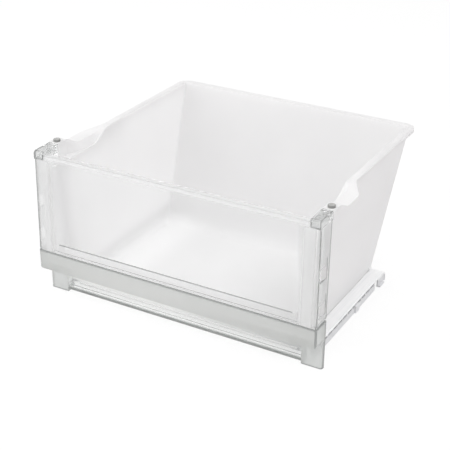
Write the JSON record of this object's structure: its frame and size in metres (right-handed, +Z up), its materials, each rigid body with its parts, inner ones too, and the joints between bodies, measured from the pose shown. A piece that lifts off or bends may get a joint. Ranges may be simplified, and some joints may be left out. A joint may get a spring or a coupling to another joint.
{
  "type": "crisper drawer",
  "caption": "Refrigerator crisper drawer: milky tapered tub with scooped side rims, clear front cover, grey finger-grip trim, runner rails and bumper studs.",
  "frame": {"origin": "centre of the bounding box in X and Y, on the plane that the runner rails and the trim stand on", "axes": "+X to the right seen from the front, +Y from the front cover to the rear wall, +Z up"},
  "size_m": [0.474, 0.402, 0.2466],
  "materials": {
    "milky_plastic": "satin milky white, faintly translucent",
    "clear_plastic": "polished, clear",
    "tinted_plastic": "satin, light grey tint, translucent",
    "grey_rubber": "matte",
    "white_plastic": "satin"
  },
  "bodies": {
    "root": {"tub": "milky_plastic", "front_cover": "clear_plastic", "handle_trim": "tinted_plastic", "left_bumper": "grey_rubber", "right_bumper": "grey_rubber", "left_runner": "white_plastic", "right_runner": "white_plastic"}
  },
  "joints": []
}
